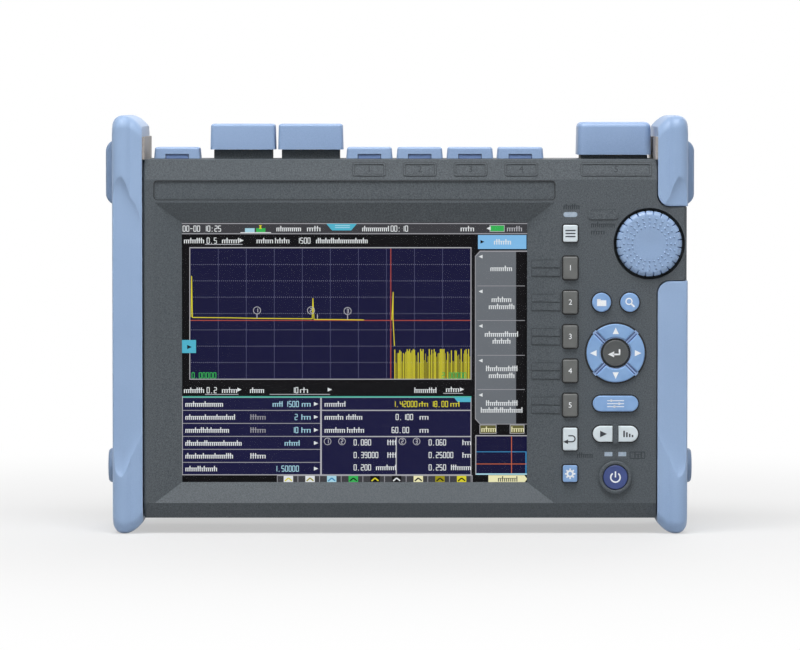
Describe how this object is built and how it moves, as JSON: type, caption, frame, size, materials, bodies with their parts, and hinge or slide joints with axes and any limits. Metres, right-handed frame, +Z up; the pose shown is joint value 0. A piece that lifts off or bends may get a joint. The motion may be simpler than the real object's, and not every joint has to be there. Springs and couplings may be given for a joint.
{
  "type": "optical time domain reflectometer",
  "caption": "Handheld fibre tester with a colour screen, a key panel with a push-and-turn dial, rubber side guards and flip covers over its ports.",
  "frame": {"origin": "under the middle of the tester, on the surface it stands on", "axes": "+Z up, the screen faces -Y, +X to the viewer's right"},
  "size_m": [0.2974, 0.08, 0.2087],
  "materials": {
    "case_grey": "fine spark-eroded texture",
    "guard_blue": "soft matt elastomer",
    "cover_blue": "satin moulded elastomer",
    "dial_blue": "satin moulding",
    "rib_blue": "satin moulding",
    "arrow_blue": "satin keytop",
    "key_blue": "satin keytop",
    "key_white": "satin keytop",
    "key_grey": "satin keytop",
    "key_dark": "satin keytop",
    "key_indigo": "satin keytop",
    "liner_grey": "moulded plate",
    "window_grey": "clear moulded window",
    "screen_glass": "hard-coated clear window",
    "panel_black": "black moulding",
    "seal_black": "moulded seal",
    "board_green": "soldermask",
    "sheet_metal": "plated sheet",
    "steel": "plain steel",
    "brass": "nickel-free brass"
  },
  "bodies": {
    "root": {"front_case": "case_grey", "dial_housing": "case_grey", "rear_case": "case_grey", "guard_left": "guard_blue", "guard_right": "guard_blue", "side_liners": "liner_grey", "case_gasket": "seal_black", "case_screws": "steel", "guard_screws": "steel", "module_screws": "steel", "cover_screws": "steel", "cover_pins": "steel", "stand_pins": "steel", "display_glass": "screen_glass", "display_panel": "panel_black", "chassis_frame": "sheet_metal", "main_board": "board_green", "keypad_board": "board_green", "dpad_frame": "rib_blue", "led_windows": "window_grey", "dial_encoder": "panel_black", "usb_jacks": "sheet_metal", "lan_jack": "sheet_metal", "dc_jack": "panel_black", "optical_adapters": "brass", "otdr_module": "sheet_metal", "option_module": "sheet_metal", "battery_pack": "panel_black", "battery_cover": "case_grey"},
    "cover_dc": {"cover_dc": "cover_blue"},
    "cover_usb_1": {"cover_usb_1": "cover_blue"},
    "cover_usb_2": {"cover_usb_2": "cover_blue"},
    "cover_usb_3": {"cover_usb_3": "cover_blue"},
    "cover_lan": {"cover_lan": "cover_blue"},
    "cover_port_1": {"cover_port_1": "cover_blue"},
    "cover_port_2": {"cover_port_2": "cover_blue"},
    "cover_option": {"cover_option": "cover_blue"},
    "key_menu": {"key_menu": "key_white"},
    "key_realtime": {"key_realtime": "key_white"},
    "key_average": {"key_average": "key_white"},
    "key_f1": {"key_f1": "key_grey"},
    "key_f2": {"key_f2": "key_grey"},
    "key_f3": {"key_f3": "key_grey"},
    "key_f4": {"key_f4": "key_grey"},
    "key_f5": {"key_f5": "key_grey"},
    "key_escape": {"key_escape": "key_white"},
    "key_utility": {"key_utility": "key_blue"},
    "key_file": {"key_file": "key_blue"},
    "key_scale": {"key_scale": "key_blue"},
    "key_setup": {"key_setup": "key_blue"},
    "key_up": {"key_up": "arrow_blue"},
    "key_down": {"key_down": "arrow_blue"},
    "key_left": {"key_left": "arrow_blue"},
    "key_right": {"key_right": "arrow_blue"},
    "key_enter": {"key_enter": "key_dark"},
    "key_power": {"key_power": "key_indigo"},
    "dial_rotor": {"dial_sleeve": "brass"},
    "dial": {"dial_knob": "dial_blue", "dial_shaft": "steel"},
    "stand": {"stand": "case_grey"}
  },
  "joints": [
    {"name": "dc_cover_flip", "type": "hinge", "parent": "root", "child": "cover_dc", "pos_m": [-0.1118, 0.0059, 0.1891], "axis": [-1, 0, 0], "range_deg": [0, 110]},
    {"name": "usb_1_cover_flip", "type": "hinge", "parent": "root", "child": "cover_usb_1", "pos_m": [-0.01537, 0.0059, 0.1891], "axis": [-1, 0, 0], "range_deg": [0, 110]},
    {"name": "usb_2_cover_flip", "type": "hinge", "parent": "root", "child": "cover_usb_2", "pos_m": [0.00988, 0.0059, 0.1891], "axis": [-1, 0, 0], "range_deg": [0, 110]},
    {"name": "usb_3_cover_flip", "type": "hinge", "parent": "root", "child": "cover_usb_3", "pos_m": [0.03513, 0.0059, 0.1891], "axis": [-1, 0, 0], "range_deg": [0, 110]},
    {"name": "lan_cover_flip", "type": "hinge", "parent": "root", "child": "cover_lan", "pos_m": [0.06039, 0.0059, 0.1891], "axis": [-1, 0, 0], "range_deg": [0, 110]},
    {"name": "port_1_cover_flip", "type": "hinge", "parent": "root", "child": "cover_port_1", "pos_m": [-0.07889, 0.0174, 0.1936], "axis": [-1, 0, 0], "range_deg": [0, 110]},
    {"name": "port_2_cover_flip", "type": "hinge", "parent": "root", "child": "cover_port_2", "pos_m": [-0.04488, 0.0174, 0.1936], "axis": [-1, 0, 0], "range_deg": [0, 110]},
    {"name": "option_cover_flip", "type": "hinge", "parent": "root", "child": "cover_option", "pos_m": [0.1076, 0.0174, 0.191], "axis": [-1, 0, 0], "range_deg": [0, 110]},
    {"name": "menu_press", "type": "slide", "parent": "root", "child": "key_menu", "axis": [0, 1, 0], "range_m": [0, 0.001], "stiffness_N_per_m": 1200},
    {"name": "realtime_press", "type": "slide", "parent": "root", "child": "key_realtime", "axis": [0, 1, 0], "range_m": [0, 0.001], "stiffness_N_per_m": 1200},
    {"name": "average_press", "type": "slide", "parent": "root", "child": "key_average", "axis": [0, 1, 0], "range_m": [0, 0.001], "stiffness_N_per_m": 1200},
    {"name": "f1_press", "type": "slide", "parent": "root", "child": "key_f1", "axis": [0, 1, 0], "range_m": [0, 0.001], "stiffness_N_per_m": 1200},
    {"name": "f2_press", "type": "slide", "parent": "root", "child": "key_f2", "axis": [0, 1, 0], "range_m": [0, 0.001], "stiffness_N_per_m": 1200},
    {"name": "f3_press", "type": "slide", "parent": "root", "child": "key_f3", "axis": [0, 1, 0], "range_m": [0, 0.001], "stiffness_N_per_m": 1200},
    {"name": "f4_press", "type": "slide", "parent": "root", "child": "key_f4", "axis": [0, 1, 0], "range_m": [0, 0.001], "stiffness_N_per_m": 1200},
    {"name": "escape_press", "type": "slide", "parent": "root", "child": "key_escape", "axis": [0, 1, 0], "range_m": [0, 0.001], "stiffness_N_per_m": 1200},
    {"name": "utility_press", "type": "slide", "parent": "root", "child": "key_utility", "axis": [0, 1, 0], "range_m": [0, 0.001], "stiffness_N_per_m": 1200},
    {"name": "file_press", "type": "slide", "parent": "root", "child": "key_file", "axis": [0, 1, 0], "range_m": [0, 0.001], "stiffness_N_per_m": 1200},
    {"name": "scale_press", "type": "slide", "parent": "root", "child": "key_scale", "axis": [0, 1, 0], "range_m": [0, 0.001], "stiffness_N_per_m": 1200},
    {"name": "setup_press", "type": "slide", "parent": "root", "child": "key_setup", "axis": [0, 1, 0], "range_m": [0, 0.001], "stiffness_N_per_m": 1200},
    {"name": "up_press", "type": "slide", "parent": "root", "child": "key_up", "axis": [0, 1, 0], "range_m": [0, 0.001], "stiffness_N_per_m": 1200},
    {"name": "down_press", "type": "slide", "parent": "root", "child": "key_down", "axis": [0, 1, 0], "range_m": [0, 0.001], "stiffness_N_per_m": 1200},
    {"name": "left_press", "type": "slide", "parent": "root", "child": "key_left", "axis": [0, 1, 0], "range_m": [0, 0.001], "stiffness_N_per_m": 1200},
    {"name": "right_press", "type": "slide", "parent": "root", "child": "key_right", "axis": [0, 1, 0], "range_m": [0, 0.001], "stiffness_N_per_m": 1200},
    {"name": "enter_press", "type": "slide", "parent": "root", "child": "key_enter", "axis": [0, 1, 0], "range_m": [0, 0.001], "stiffness_N_per_m": 1200},
    {"name": "power_press", "type": "slide", "parent": "root", "child": "key_power", "axis": [0, 1, 0], "range_m": [0, 0.001], "stiffness_N_per_m": 1200},
    {"name": "dial_turn", "type": "hinge", "parent": "root", "child": "dial_rotor", "pos_m": [0.1241, -0.03, 0.1449], "axis": [0, -1, 0], "continuous": true},
    {"name": "dial_press", "type": "slide", "parent": "dial_rotor", "child": "dial", "axis": [0, 1, 0], "range_m": [0, 0.0008], "stiffness_N_per_m": 1500},
    {"name": "stand_swing", "type": "hinge", "parent": "root", "child": "stand", "pos_m": [0, 0.0329, 0.1079], "axis": [1, 0, 0], "range_deg": [0, 50]},
    {"name": "f5_press", "type": "slide", "parent": "root", "child": "key_f5", "axis": [0, 1, 0], "range_m": [0, 0.001], "stiffness_N_per_m": 1200}
  ]
}
